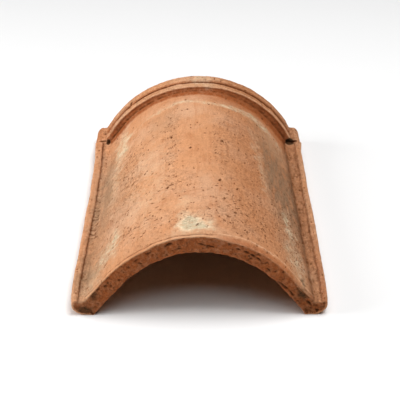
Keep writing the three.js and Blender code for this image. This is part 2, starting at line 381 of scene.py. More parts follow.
def formed_rings(places):
    """The sections at all places, formed by hand and worn at the ends, and their steps."""
    rings = np.array([section_at(y) for y in places])
    size = rings.shape[1]
    step = np.tile(np.minimum(np.arange(size), size - np.arange(size)), len(places))
    skin = Skin(np.vstack([in_space(ring, y) for ring, y in zip(rings, places)]), step)
    forms = (press_front(skin) + shape_by_hand(skin), move_sideways(skin), round_corners(skin),
             wear_arris(skin))
    rows = zip(rings, *(form.reshape(len(places), size) for form in forms))
    rings = [drawn_in(rounded(drawn_in(ring, inset) + np.outer(shift, (1, 0)), rounding), wear)
             for ring, inset, shift, rounding, wear in rows]
    return np.array(rings), step


def build_skin():
    """The closed skin's points and faces, and for each point its step along its section."""
    places = stations()
    rings, step = formed_rings(places)
    size = rings.shape[1]
    points = np.vstack([in_space(ring, y) for ring, y in zip(rings, places)])
    here = np.arange(size)
    beside = (here + 1) % size
    quads = [np.column_stack([here, beside, beside + size, here + size]) + row * size
             for row in range(len(places) - 1)]
    faces = np.vstack(quads).tolist()
    for row, outward in ((0, -1), (len(places) - 1, 1)):
        added, corners = cap(rings[row])
        corners += np.where(corners < size, row * size, len(points) - size)
        points = np.vstack([points, in_space(added, places[row])])
        a, b, c = points[corners.T]
        turned = np.cross(b - a, c - a)[:, 1] * outward < 0
        corners[turned] = corners[turned, ::-1]
        faces += corners.tolist()
        step = np.append(step, np.full(len(added), -1))
    return points, faces, step


def mesh_of(points, faces):
    mesh = bpy.data.meshes.new("ridge_tile_weathered")
    mesh.from_pydata((points * MM).tolist(), [], faces)
    mesh.shade_smooth()
    return mesh


def normals_of(mesh):
    flat = np.empty(len(mesh.vertices) * 3)
    mesh.vertex_normals.foreach_get("vector", flat)
    return flat.reshape(-1, 3)


# ---- Form ----


class Skin:
    """The tile's points, and what forming and weathering need to know about each."""

    def __init__(self, points, step, normals=None):
        self.points, self.step, self.normals = points, step, normals
        self.x, self.y, self.z = points.T
        self.from_front = self.y + HALF_LENGTH
        self.behind = self.y - COLLAR_FRONT
        self.left = self.x < 0
        self.right = ~self.left
        self.top = (step >= 0) & (step <= UPPER_STOP)
        self.arch = self.top & (step <= FLANK_FOOT)
        self.trough = self.top & (step > FLANK_FOOT - 2) & (step <= CHANNEL_STOP)
        self.lip = self.top & (step > CHANNEL_STOP)
        self.under = step > UPPER_STOP
        self.inside = step >= BORE_FOOT
        self.plain_face = (step < 0) & (self.y < 0)
        self.collar_face = (step < 0) & (self.y > 0)
        self.collar = rise(self.behind, -3, 2)
        self.body = 1 - self.collar
        self.sink = np.zeros(len(points))
        self.hollow = np.zeros(len(points))

    def noise(self, name):
        return noise_at(self.points, name)

    def sides(self, left, right):
        return np.where(self.left, left, right)

    def above(self, x, y):
        """The point of the top skin above x and y."""
        away = (self.x - x) ** 2 + (self.y - y) ** 2 + np.where(self.top, 0, np.inf)
        return self.points[away.argmin()]

    def dent(self, centre, heading, half_length, half_width, depth, dark=1):
        """Sink an oval hollow that lies along heading, and note how dark its painted shade is."""
        near = np.flatnonzero(np.abs(self.points - centre).max(axis=1) < half_length)
        away = self.points[near] - centre
        along = away @ (np.array(heading) / np.linalg.norm(heading))
        across = np.sqrt(np.maximum((away**2).sum(axis=1) - along**2, 0))
        bowl = np.clip(1 - (along / half_length) ** 2 - (across / half_width) ** 2, 0, 1)
        self.sink[near] += depth * np.sqrt(bowl)
        self.hollow[near] = np.maximum(self.hollow[near], dark * bowl**0.7)


def follow(line, place):
    """How high a line of (place, height) points is at each place."""
    return np.interp(place, *zip(*line))


PRESSED_DROP = (  # x, how far the top of the plain end is pressed down
    (-104, 0), (-76, 1.6), (-59, 2), (-47, 0.9), (-36, 0), (-13, -1.2), (9, -0.4), (22, 0.2),
    (34, 0.5), (60, 0.4), (84, 0),
)
PRESSED_LENGTH = 7
SHOULDER = (-84, 62)  # middle and reach in x, where the band is longer
SHOULDER_LENGTH = 42  # how much longer
LEDGE = (-8, 40)  # middle and reach in x
LEDGE_EDGES = (7, 5.5)  # from the plain end
LEDGE_DEPTH = 0.7
RIM_GROOVE = (5.2, 1.6)  # middle and reach from the plain end
RIM_GROOVE_DEPTH = ((-104, 0.7), (-70, 0.9), (-30, 0.9), (10, 0.7), (26, 0))  # x, depth


def press_front(skin):
    """The band pressed down behind the plain end, with its ledge and the rim's groove."""
    length = PRESSED_LENGTH + SHOULDER_LENGTH * hump(skin.x, *SHOULDER)
    pressed = follow(PRESSED_DROP, skin.x) * share_along(skin.from_front, length, 0) ** 1.3
    wandering = skin.from_front + skin.noise("rim")
    ledge = LEDGE_DEPTH * rise(wandering, *LEDGE_EDGES) * hump(skin.x, *LEDGE)
    return (pressed + ledge) * skin.arch + rim_groove(skin, wandering)


def rim_groove(skin, wandering):
    """The thin line pressed along the plain end's rim, as deep as it is dark."""
    return hump(wandering, *RIM_GROOVE) * follow(RIM_GROOVE_DEPTH, skin.x) * skin.arch


LINING = (  # x, reach, how much thinner the wall is at the plain end
    (88, 34, 1.2), (0, 130, -1.3), (-50, 30, -2.2),
)
LINING_END = -60  # in y
FILLED_LEFT, FILLED_RIGHT = 1.4, 0.3  # clay smeared into the foot of each flank


def shape_by_hand(skin):
    """Broad unevenness of a hand-pressed form, and a flank that came out thin."""
    uneven = (skin.noise("hand") + skin.noise("palm")) * rise(skin.z, 0, 8)
    lining = sum(thinner * hump(skin.x, x, reach) for x, reach, thinner in LINING)
    lining *= 1 - rise(skin.y, -HALF_LENGTH, LINING_END)
    thinned = lining * rise(skin.step, UNDER_STOP, UNDER_STOP + 7)
    fill = skin.sides(FILLED_LEFT, FILLED_RIGHT) * hump(skin.step, FLANK_FOOT + 2, 12) * skin.body
    return uneven + thinned - fill * skin.top


WAIST_LEFT, WAIST_RIGHT = 2.3, 0.6  # how far each lip leans in at mid-length
WAIST = (30, 190)  # middle and reach in y
LIP_TEAR_LIMIT = 0.5
LEFT_LIP_EDGE = (  # y, how far the left lip's inner edge is over to the right
    (-194, 0.12), (-140, 0.36), (-30, 1.14), (75, 1.86), (155, 1.56),
)
TORN_STEPS = ((CHANNEL_STOP - 3, 0), (CHANNEL_STOP, 1), (LIP_CREST, 1), (LIP_CREST + 2, 0))
SIDE_LINE = 50  # in x, where the noise of each lip is read
COLLAR_OVER = 0.9


def move_sideways(skin):
    """Moves in x: lips that wander and lean in, and a collar set a little over."""
    side = skin.sides(-1, 1)
    line = np.column_stack([SIDE_LINE * side, skin.y, 0 * skin.y])
    wandering = noise_at(line, "lip_line") + noise_at(line, "lip_ripple")
    waist = skin.sides(WAIST_LEFT, WAIST_RIGHT) * hump(skin.y, *WAIST)
    near_lip = rise(np.abs(skin.x), LIP_INNER - 7, LIP_INNER + 1)
    torn = np.clip(noise_at(line, "lip_tear"), -LIP_TEAR_LIMIT, LIP_TEAR_LIMIT)
    torn += follow(LEFT_LIP_EDGE, skin.y) * skin.left * skin.body
    over = COLLAR_OVER * skin.collar * rise(skin.z, BLOCK_TOP, BLOCK_TOP + 12)
    return ((wandering - waist * skin.body * side) * near_lip
            + torn * follow(TORN_STEPS, skin.step) + over)


def round_corners(skin):
    """How much the outer corners of the lips are smoothed off."""
    corner = rise(skin.step, CHANNEL_STOP + 1, LIP_CREST + 2)
    corner *= rise(skin.step, SIDE_STOP + 3, SIDE_STOP - 1)
    return corner * np.maximum(rise(skin.from_front, 14, 1), 0.7 * skin.collar)


WORN_ARRIS = 1.6
WORN_CROWN_ARRIS = 0.6
BORE_ARRIS = 0.7
BEVEL = (12, 34)  # in x, where it starts and where it is full
BEVEL_DROP = 2.1
BEVEL_RUN = 7.5
BURR_HEIGHT = 0.45
BURR_REACH = 1.4


def wear_arris(skin):
    """How far the worn, uneven arris of an end face draws each point in."""
    flat = skin.points * (1, 0, 1)
    from_end = HALF_LENGTH - np.abs(skin.y)
    uneven = 1 + noise_at(flat, "end_arris")
    crown = rise(skin.z, CHANNEL_FLOOR + 2, CHANNEL_FLOOR + 14) * (skin.y < 0) * skin.top
    arris = between(WORN_ARRIS, WORN_CROWN_ARRIS, crown)
    arris = np.where(skin.inside, BORE_ARRIS, arris) * uneven
    run = BEVEL_RUN * uneven
    bevel = BEVEL_DROP * (1 - np.clip(from_end / run, 0, 1))
    bevel -= BURR_HEIGHT * hump(from_end, run, BURR_REACH)
    bevel *= crown * rise(skin.x, *BEVEL)
    ragged = noise_at(flat, "bore_edge") * skin.inside * (skin.y < 0)
    ragged *= rise(skin.from_front, 6, 0) * rise(skin.z, 3, 12)
    return arris * (1 - swell(np.clip(from_end / arris, 0, 1))) + bevel + ragged


# ---- Places ----


def places_on(skin):
    """How far each point belongs to each named place, from 0 to 1."""
    x, y, step, behind, front = skin.x, skin.y, skin.step, skin.behind, skin.from_front
    top, arch, left, right = skin.top, skin.arch, skin.left, skin.right
    trough, lip, collar, body = skin.trough, skin.lip, skin.collar, skin.body
    right_side = rise(x, 10, 60)
    # Painted shade falls in the cove under the bead and in the collar's groove.
    bead_root = rise(behind, -10 - 4 * right_side, -3) * rise(behind, 3.4, 2) * arch
    groove = hump(behind, GROOVE_PLACE, 5) * arch
    front_arris = rise(front, 4, 1)
    # Redder clay over the right half, which also paints the shade of the side away from the light.
    red_shaded_half = rise(x, 0, 70) * (1 - 0.5 * lip) * top
    return {
        "everywhere": 1,
        "under": skin.under,
        "plain_face": skin.plain_face,
        "collar_face": skin.collar_face,
        "torn_face": skin.plain_face + 0.6 * skin.collar_face,
        # Painted shade: the right of the plain end face, away from the light.
        "shaded_face_right": rise(x, 66, 104) * skin.plain_face,
        "front_arris": front_arris,
        # Painted shade on the bore's rounded front edge and inside the bore near the front.
        "bore_arris": front_arris * skin.inside,
        "bore_edge": hump(skin.z, 20, 30) * hump(step, BORE_FOOT, 8) * (y < -185),
        "bore_front": rise(y, -60, -150) * (step > BORE_FOOT),
        "bevel": rise(front, BEVEL_RUN, 3) * rise(x, *BEVEL) * arch,
        "right_side": right_side,
        "arch_right": right_side * arch,
        "weak_flank": hump(x, 88, 34) * rise(y, 30, -70) * arch,
        "left_edge": rise(x, -84, -100) * (arch | trough),
        "dragged": (0.4 + 0.6 * rise(skin.noise("strop"), -0.6, 1)) * arch,
        "red_shaded_half": red_shaded_half,
        "red_shaded_half_front": red_shaded_half * rise(y, -50, -120),
        "crown_front": hump(x, 15, 60) * rise(y, -40, -120) * top,
        "shoulder": hump(x, -62, 36) * top,
        "shoulder_front": hump(x, -60, 40) * rise(y, -145, -165) * top,
        "trough": trough,
        # Painted shade: the right channel, shaded by the arch from the light.
        "shaded_right_trough": trough & right,
        "channels": skin.sides(0.5, 1) * trough * body,
        # Painted shade along the foot of the right flank, and painted shade with dirt along the
        # foot of the left lip.
        "flank_foot": hump(step, FLANK_FOOT - 1, 7) * right * top * body,
        "lip_foot": hump(step, CHANNEL_STOP, 4) * left * top * body,
        "curled": hump(step, FLANK_FOOT + 2, 9) * rise(y, -90, -82) * rise(
            y, 24, 16) * left * top,
        "lip": lip,
        "left_lip": lip & left,
        "right_lip": lip & right,
        "left_lip_front": lip * left * rise(y, -60, -160),
        "right_lip_front": lip * right * rise(y, -20, -160),
        "under_right": skin.under & right,
        "torn_lip": hump(step, LIP_CREST - 1, 4) * top * right * body * rise(y, 150, 130),
        "collar_top": collar * top,
        "collar_arch": collar * arch,
        "bead_root": bead_root,
        "bead_root_right": bead_root * right_side,
        # Painted highlight: a thin light line on the bead's crest.
        "bead_crest": hump(behind, 4.8, 2.4) * arch * (0.4 + 0.6 * right_side),
        "groove": groove,
        "groove_right": groove * right_side,
        "left_block": collar * rise(x, -104, -112) * top,
        "block_corners": collar * rise(np.abs(x), 122, 133) * rise(
            skin.z, 9, BLOCK_TOP) * rise(step, UPPER_STOP + 4, UPPER_STOP),
    }


# ---- Relief ----

GRAIN = (  # depth, noise and place
    (0.08, "strokes", "dragged"),
    (0.045, "clay", "everywhere"),
    (0.24, "crumbs", "channels"),
    (0.26, "face_grit", "torn_face"),
    (0.13, "weak_flank", "weak_flank"),
    (0.06, "underside", "under"),
    (0.07, "lip", "lip"),
    (0.09, "collar_wobble", "collar_arch"),
    (0.07, "collar_ripple", "collar_arch"),
)
TEARS = (  # the same, for clay that is only torn away
    (0.15, "crumbs", "torn_lip"),
    (0.35, "face_lumps", "torn_face"),
)
CURL_SPACING = 9.5
CURL_HEIGHT = 1.5
CURL_DEPTH = 0.8  # of the gaps between the curls


def roughen(skin, places):
    """What mould, strop and knife left: grain, torn clay, and curls in the channel."""
    for depth, name, place in GRAIN:
        skin.sink += depth * skin.noise(name) * places[place]
    for depth, name, place in TEARS:
        skin.sink += depth * np.abs(skin.noise(name)) * places[place]
    curl = np.abs(np.sin(math.pi * skin.y / CURL_SPACING + skin.noise("curls")))
    skin.sink += (CURL_DEPTH - CURL_HEIGHT * curl) * places["curled"]


SCORES = (  # x, y, reach in x, reach in y, heading in y over SCORE_RUN of x, how many
    (-84, 15, 9, 34, 7, 40), (-80, -40, 12, 30, 7, 22), (-70, -152, 28, 15, 2, 12),
    (-66, 50, 14, 60, 7, 22), (-84, -110, 10, 25, 6, 8), (52, -150, 26, 30, -7, 36),
    (64, -100, 16, 30, -9, 18), (30, -115, 16, 30, -3, 14), (-30, -100, 22, 30, 3, 16),
)
SCORE_RUN = 8
SHORTEST_SCORE, LONGEST_SCORE = 1.6, 4.6  # half-lengths


def score(skin, chance):
    """Short scratches that cross the shoulders on a slant."""
    for x, y, reach_x, reach_y, run_y, count in SCORES:
        for along, across, half_length in chance.uniform(
                (-1, -1, SHORTEST_SCORE), (1, 1, LONGEST_SCORE), (count, 3)):
            start = skin.above(x + along * reach_x, y + across * reach_y)
            heading = skin.above(start[0] + SCORE_RUN, start[1] + run_y) - start
            skin.dent(start, heading, half_length, half_width=1, depth=0.5, dark=0.75)


COLLAR_CUTS = (  # place behind the collar's front, reach, depth: what is below 0 stands proud
    (GROOVE_PLACE - 0.5, 4.5, 0.8), (-3, 4, -0.6), (4, 2.6, -0.7), (0.9, 2.2, 1.3),
)
COLLAR_CUTS_END = 114  # in x, on both sides
BLOCK_WEAR = 1.7
COLLAR_HOLLOWS = (  # x, y, heading, half-length, half-width, depth, how dark its painted shade is
    (116.5, 154.5, (1, 0.3, 0), 5.5, 4.4, 4, 0.42),  # pockets in front of the blocks
    (-114.5, 153.5, (0, 1, 0), 4, 3, 2.6, 0.5),
    (122.5, 155.5, (1, 0, 0), 4.6, 1.6, 2, 1),  # cracks between the blocks and the lips
    (-122.5, 156, (1, 0, 0), 6, 1.6, 2, 1),
    (21.5, 184, (0, 1, 0), 7, 0.8, 0.5, 0.7),  # scratch, notch and chip
    (-86, 178, (0.6, 1, -0.6), 4.5, 2.6, 1.8, 0.7),
    (118.5, 173, (1, 0.4, 0), 2.4, 1.4, 1, 0.7),
)


def finish_collar(skin, places):
    """A crisper bead and groove, worn blocks, and cracks and pockets beside them."""
    cut = sum(depth * hump(skin.behind, place, reach) for place, reach, depth in COLLAR_CUTS)
    cut *= rise(np.abs(skin.x), COLLAR_CUTS_END, COLLAR_CUTS_END - 10)
    skin.sink += cut * skin.arch + BLOCK_WEAR * places["block_corners"]
    for x, y, *hollow in COLLAR_HOLLOWS:
        skin.dent(skin.above(x, y), *hollow)


TOP_PITS = (  # x, y, length along the ridge
    (-33, -86, 3.4), (-15.6, 131, 3), (-9.2, -3, 3.4), (22.6, -74, 3.4), (27.3, 22, 3),
    (12.9, 115, 2.4), (-55.7, -145, 2.2), (-77.5, -141, 2.6), (-88.3, -127, 2.4),
    (-17.5, -146, 2.2), (-39.7, -128, 2.4), (-44.9, -161, 1.8), (-99.4, -108, 2.2),
    (-2.7, -171, 2), (12.2, -153, 2.2), (17.5, -141, 2.2), (40.9, -126, 2), (45, -168, 2),
    (82.7, -109, 2.2), (79.6, -85, 2.2), (17.5, -122, 1.8), (8.2, -174, 1.8), (80.8, 147, 2.6),
    (-56.2, -81, 2.2), (-31, 32, 3), (-12.9, 103, 2.6), (34.9, 146, 2.4), (-95, 55, 2.2),
    (-124, -24, 2.2), (-127, -60, 2), (-125.5, 132, 2.6), (-127, -142, 2),
)
TOP_GASHES = (  # x, y, heading in x and y, half-length
    (54, 147, 3, -3, 4.4), (40.6, -85, 2, 5, 4.5), (43.6, -153, 3, -2, 3.4),
    (-77, -152, 4, 1, 4), (-66, -160, 4, 1, 3.6), (-56, -163, 5, 1, 3.4),
)
PIT_LINES = (  # x, from y, to y, how many
    (-31, -90, 60, 34), (21, -95, 60, 30), (-52, -150, -30, 16), (103, -165, -20, 34),
)
PIT_LINE_SPREAD = 4
LINE_PIT_SIZES = ((1.2, 0.8), (2.2, 1.1))  # least and greatest half-length and half-width
SCATTERED_PITS = 110
WEAK_PITS = 90
WEAK_PIT_SIZES = ((1.4, 0.9), (2.6, 1.4))  # as above
FACE_PITS = 46
FACE_GASHES = (  # x, z, angle in degrees, half-length, half-width, depth
    (-30.4, 83.2, 30, 5, 1.6, 2.08), (2.5, 83.7, -16, 5, 1.1, 1.56),
    (11, 81.4, -14, 5, 1.2, 1.56), (46, 74.4, -20, 3.4, 1.3, 1.43),
    (52, 71, -30, 4.2, 1.5, 1.56), (58, 66.6, -42, 3.6, 1.2, 1.43),
    (50, 67.5, 30, 2.6, 1.2, 1.3), (83, 35.5, -40, 9.5, 1, 1.69),
    (104, 27.5, -52, 12, 2.2, 1.56), (-93.5, 35.2, 20, 2.6, 1.4, 1.56),
    (-79.5, 42.5, 0, 1.8, 1.3, 1.3), (-50, 73.5, 28, 4.4, 1.2, 1.3),
    (-62, 65.5, 34, 3, 1.1, 1.3), (-20, 78.5, 8, 3.6, 1.2, 1.17),
    (-12, 72.5, 4, 3, 1, 1.04), (-70, 45, 46, 3, 1.2, 1.17),
    (-101, 31, 50, 3.4, 1.2, 1.3), (118.5, 5.5, 0, 2.4, 1.6, 1.56),
    (68, 54, -46, 3.6, 1.1, 1.3), (92, 26, -58, 5, 1.2, 1.43),
    (38, 78, -12, 3, 1.1, 1.3), (110, 14, -50, 4.4, 1.6, 1.56),
    (29, 84, -20, 2.2, 1.1, 1.04), (-58, 62, 20, 2, 1, 1.04),
)


def mostly_small(chance, least, spread):
    return least + spread * chance.random() ** 3


def pit_surface(skin, chance):
    """Hollows where grit fell out: placed, in lines along the ridge, and scattered."""
    for x, y, length in TOP_PITS:
        skin.dent(skin.above(x, y), (0.2, 1, 0), 0.8 * length, 0.45 * length + 0.3, depth=0.9)
    for x, y, run_x, run_y, half_length in TOP_GASHES:
        skin.dent(skin.above(x, y), (run_x, run_y, 0), half_length, half_width=1, depth=0.9)
    for x, start, end, count in PIT_LINES:
        for y in chance.uniform(start, end, count):
            place = skin.above(x + chance.normal(0, PIT_LINE_SPREAD), y)
            skin.dent(place, (0.1, 1, 0), *chance.uniform(*LINE_PIT_SIZES), depth=0.5, dark=0.6)
    open_places = np.flatnonzero(skin.arch & (skin.behind < -COVE_LENGTH))
    for place in skin.points[chance.choice(open_places, SCATTERED_PITS)]:
        size = mostly_small(chance, 1.2, 1.2)
        skin.dent(place, (*chance.normal(0, 1, 2), 0), size, 0.62 * size, 0.3 * size, dark=0.6)
    weak = np.flatnonzero(skin.arch & (skin.x > 78) & (skin.y < -20) & (skin.y > -180))
    for place in skin.points[chance.choice(weak, WEAK_PITS)]:
        skin.dent(place, (0.4, 1, 0), *chance.uniform(*WEAK_PIT_SIZES), depth=0.6, dark=0.8)
    for place in skin.points[chance.choice(np.flatnonzero(skin.plain_face), FACE_PITS)]:
        size = mostly_small(chance, 1.1, 1.8)
        skin.dent(place, (1, 0, chance.normal(0, 0.5)), size, 0.6 * size, 0.45 * size, dark=0.6)
    for x, z, angle, *hollow in FACE_GASHES:
        angle = math.radians(angle)
        skin.dent((x, -HALF_LENGTH, z), (math.cos(angle), 0, math.sin(angle)), *hollow)


# ---- Weathering, painted shade and painted highlight ----

# Spots: x, y, reach in x, reach in y, strength.
BLOOM = (  # pale lime bloom on the top
    (-8, -168, 24, 27, 0.6), (4, -176, 16, 12, 0.3), (-14, -125, 10, 30, 0.25),
    (-92, -142, 13, 30, 1.1), (-112, -160, 14, 36, 0.3), (-106, -165, 16, 40, 0.3),
    (-92, 92, 11, 60, 0.8), (-99, 10, 14, 90, 0.45), (4, 174, 19, 22, 0.6),
    (96, -88, 8, 42, 1.1), (96, -150, 9, 36, 0.4), (-60, -60, 40, 160, 0.22),
    (104, -160, 12, 50, 0.55), (78, 116, 16, 12, 0.5), (92, 92, 22, 34, 0.35),
)
LIME = (  # the crusted patch behind the plain end
    (-9, -169, 18, 15, 1.1), (2, -174, 12, 9, 0.6), (-16, -150, 11, 12, 0.3),
)
CROWDING = (  # where small pits crowd
    (-31, 30, 6, 85, 0.5), (-31, 30, 18, 100, 0.15), (34, 20, 30, 130, 0.2),
    (66, -10, 26, 160, 0.2), (-80, -20, 26, 130, 0.3), (-20, -75, 22, 36, 0.3),
    (-50, -150, 60, 40, 0.15), (30, -150, 70, 36, 0.2), (92, -95, 18, 80, 0.5),
    (102, -20, 14, 90, 0.4), (107, -110, 7, 80, 0.6), (60, -130, 40, 60, 0.2),
)
FILM = (  # grey-brown film on the left flank
    (-112, -20, 16, 170, 0.55), (-117, -35, 6, 64, 0.5), (-104, 40, 10, 90, 0.45),
    (-92, -60, 22, 120, 0.25), (-118, -150, 16, 60, 0.7), (-102, -160, 20, 34, 0.25),
    (-40, 80, 26, 50, 0.3), (-22, -185, 70, 12, 0.2),
)
GRIME = ((114, -50, 6, 48, 0.15),)
MOSS = ((105, -183, 6, 16, 0.55),)
# Painted shade: near black in the pockets in front of the blocks.
POCKET_SHADE = ((116.5, 155, 6.5, 6.5, 1.8), (-114.5, 154.5, 3.5, 4.5, 1.1))

# The same on the plain end face, with z for y.
FEET_MOSS = (
    (-116, 6, 15, 8, 1), (-106, 25, 7, 13, 0.9), (104, 28, 10, 15, 1.2), (112, 6, 14, 9, 0.5),
)
FACE_SOOT = ((-112, 8, 22, 22, 1),)

# Lines over the top.
NECK_LINE = (  # x, y of the pale line before the neck
    (-92, 100), (-60, 112), (-42, 116), (-18, 125), (10, 119), (45, 116), (67, 122), (79, 124),
    (92, 116),
)
NECK_BLOOM = ((-90, 0), (-50, 0.5), (-20, 0.7), (20, 0.5), (45, 1), (70, 1.2), (95, 0.3))  # x
NECK_RAW_AND_SHADE = ((-60, 0.1), (0, 0.3), (45, 0.7), (78, 0.75), (92, 0.4))  # x, strength: raw clay, and painted shade that grows to the right
SOOT_EDGE = ((-194, 90), (-123, 83), (-46, 77), (39, 71), (80, 68), (124, 64))  # y, x
SOOT_ALONG = ((-194, 0.15), (-110, 0.45), (-40, 1.3), (50, 1.1), (90, 0.6))  # y, strength

SPOT_CORE = 0.15  # share of a spot's reach that has its full strength


def spots(x, y, rows):
    """The soft oval marks of the rows, added up."""
    return sum(strength * rise(np.hypot((x - middle_x) / reach_x, (y - middle_y) / reach_y),
                               1 + SPOT_CORE, SPOT_CORE)
               for middle_x, middle_y, reach_x, reach_y, strength in rows)


def weathered_places(skin):
    """As places_on, for the weather's marks, most of them with ragged edges."""
    x, y, z, top, arch = skin.x, skin.y, skin.z, skin.top, skin.arch
    ragged_x, ragged_y = skin.noise("ragged_x"), skin.noise("ragged_y")
    ragged = (x + ragged_x, y + 2 * ragged_y)
    neck_line = follow(NECK_LINE, x)
    neck_bloom = hump(y + 0.6 * ragged_y, neck_line, 6 + 10 * rise(x, 35, 70))
    neck = rise(y, neck_line, neck_line + 26) * rise(skin.behind, 3, -2)
    soot_edge = follow(SOOT_EDGE, y)
    soot = rise(x + 0.7 * ragged_x, soot_edge - 7, soot_edge + 8) * follow(SOOT_ALONG, y)
    soot *= rise(y, 135, 95) * (1 - 0.3 * np.abs(skin.noise("soot")))
    streaks = rise(skin.noise("streaks"), 0, 1.4) * rise(y, 150, 110)
    burr = hump(skin.from_front, BEVEL_RUN + 0.4 + skin.noise("burr"), 1.3)
    return {
        "bloom_spots": spots(*ragged, BLOOM) * top,
        "lime_spots": spots(x + ragged_x / 2, y + ragged_y, LIME) * top,
        "crowded": spots(*ragged, CROWDING) * arch,
        "film": spots(*ragged, FILM) * top,
        "grime_spots": spots(x, y, GRIME) * top,
        "mossy_corner": spots(x + ragged_x, y, MOSS) * top,
        "shaded_pockets": spots(x, y, POCKET_SHADE) * rise(z, 23, 20) * top,
        "mossy_feet": spots(x, z, FEET_MOSS) * skin.plain_face,
        "sooty_foot": spots(x, z, FACE_SOOT) * skin.plain_face,
        "face_clouds": rise(skin.noise("face_clouds"), -0.5, 1.2) * skin.plain_face,
        "neck_bloom": neck_bloom * follow(NECK_BLOOM, x) * arch,
        "neck": neck * follow(NECK_RAW_AND_SHADE, x) * arch,
        "soot_band": soot * arch,
        "soot_fringe": hump(x + ragged_x, soot_edge - 3, 9) * hump(y, 0, 140) * arch,
        "streaks_right": streaks * skin.trough * skin.right,
        # Painted highlight: a thin light line along the burr behind the plain end.
        "burr": burr * rise(x, 8, 24) * arch,
        "rim_groove": rim_groove(skin, skin.from_front + skin.noise("rim")),
    }


WEATHERING = {  # how strongly each place shows each kind of weathering, painted shade and painted highlight
    "bloom": {"bloom_spots": 1, "neck_bloom": 1, "soot_fringe": 0.42, "bore_edge": 0.6},
    "lime": {"lime_spots": 1},
    "soot": {"soot_band": 1, "film": 1, "sooty_foot": 1, "face_clouds": 0.25,
             "shaded_right_trough": 0.3, "left_lip_front": 0.2, "under": 0.15},
    # The redder raw clay of the cut faces, and the same colour as painted shade in the bead's root,
    # the groove, the neck, the bore's front and the right channel.
    "raw_and_shade": {"plain_face": 1, "collar_face": 0.7, "bevel": 0.6, "bore_arris": 0.8,
            "bore_front": 0.35, "neck": 1, "bead_root": 1.2, "groove": 0.8, "left_block": 0.3,
            "shaded_right_trough": 0.12, "right_lip_front": 0.6, "under_right": 0.2},
    "red_and_shade": {"red_shaded_half": 0.8, "red_shaded_half_front": -0.25, "crown_front": 0.12,
            "shoulder": 0.15, "shoulder_front": 0.25, "left_lip": 0.7},
    # Dirt and grime, and painted shade on the right of the plain end face, in the right channel and
    # at the left lip's foot.
    "dirt_and_shade": {"shaded_face_right": 0.47, "shaded_right_trough": 0.2, "streaks_right": 0.4,
             "grime_spots": 1, "lip_foot": 0.45, "bead_root": -0.5},
    # Painted shade in the bead's root and the collar's groove, along the feet of the right flank
    # and left lip, and in the rim's groove.
    "crease_shade": {"bead_root": 0.42, "bead_root_right": 0.08, "groove": 0.1,
              "groove_right": 0.4, "lip_foot": 0.35, "flank_foot": 0.55, "rim_groove": 0.4},
    # Moss on the feet and the right front corner, and painted shade in the pockets.
    "moss_and_shade": {"mossy_feet": 0.62, "mossy_corner": 1, "shaded_pockets": 1},
    # Painted highlight on the bead's crest and on the burr.
    "painted_highlight": {"bead_crest": 1, "burr": 1},
    "pitted": {"everywhere": 0.3, "crowded": 1, "arch_right": 0.1, "left_edge": 0.15,
               "trough": 0.2, "shaded_right_trough": 0.25, "lip": 0.1, "right_lip": 0.25,
               "plain_face": 0.3, "collar_face": 0.3, "collar_top": 0.25},
}


def weather(skin, places):
    """How much of each kind of weathering, painted shade and painted highlight every point shows.
    """
    masks = {kind: sum(strength * places[place] for place, strength in shares.items())
             for kind, shares in WEATHERING.items()}
    masks["soot"] *= 1 - 0.8 * places["front_arris"]
    masks["soot"] *= 1 - 0.6 * np.clip(masks["bloom"], 0, 1) * places["right_side"]
    masks["hollow"] = skin.hollow
    return masks


def stand_proud(mesh, passes):
    """How far each point stands out of its smoothed surroundings, in mm."""
    ends = np.empty(2 * len(mesh.edges), dtype=int)
    mesh.edges.foreach_get("vertices", ends)
    start, end = ends.reshape(-1, 2).T
    place = np.empty(3 * len(mesh.vertices))
    mesh.vertices.foreach_get("co", place)
    place = place.reshape(-1, 3) / MM
    count = np.bincount(ends, minlength=len(place))
    smooth = place
    for _ in range(passes):
        smooth = np.column_stack([
            np.bincount(start, axis[end], len(place)) + np.bincount(end, axis[start], len(place))
            for axis in smooth.T]) / count[:, None]
    return ((place - smooth) * normals_of(mesh)).sum(axis=1)


FINE_PASSES, BROAD_PASSES = 3, 20
FACE_CAVITIES = 0.35
LEFT_CAVITIES, RIGHT_CAVITIES = 0.5, 0.1  # darkening in the channels and on the lips, stronger on the left as painted shade of the lips' inner sides


def wear_soil_and_shade(skin, mesh, masks):
    """Dirt and painted shade in the hollows of the finished mesh, and wear and painted highlight
    where it stands proud.
    """
    fine, broad = stand_proud(mesh, FINE_PASSES), stand_proud(mesh, BROAD_PASSES)
    # Painted shade in the mesh's hollows, where dirt also lies.
    cavities = 0.8 * share_along(-fine, 0.08, 0.4) + 0.7 * share_along(-broad, 0.25, 1)
    cavities *= np.where(skin.plain_face, FACE_CAVITIES, 1)
    beside_flank = skin.sides(LEFT_CAVITIES, RIGHT_CAVITIES)
    cavities *= np.where(skin.trough | skin.lip, beside_flank, 1)
    masks["dirt_and_shade"] += cavities
    # Proud points are lightened, as wear and as painted highlight on crests.
    worn_and_highlit = share_along(fine, 0.1, 0.45) + 0.6 * share_along(broad, 0.5, 1.6)
    masks["worn_and_highlit"] = worn_and_highlit * (1 - rise(skin.from_front, 5, 3) * np.where(skin.top, 0.5, 1))


def paint(mesh, masks):
    """Store the masks on the mesh, held between 0 and 1."""
    for name, values in masks.items():
        layer = mesh.attributes.new(name, "FLOAT", "POINT")
        layer.data.foreach_set("value", np.clip(values, 0, 1))


# ---- Clay ----

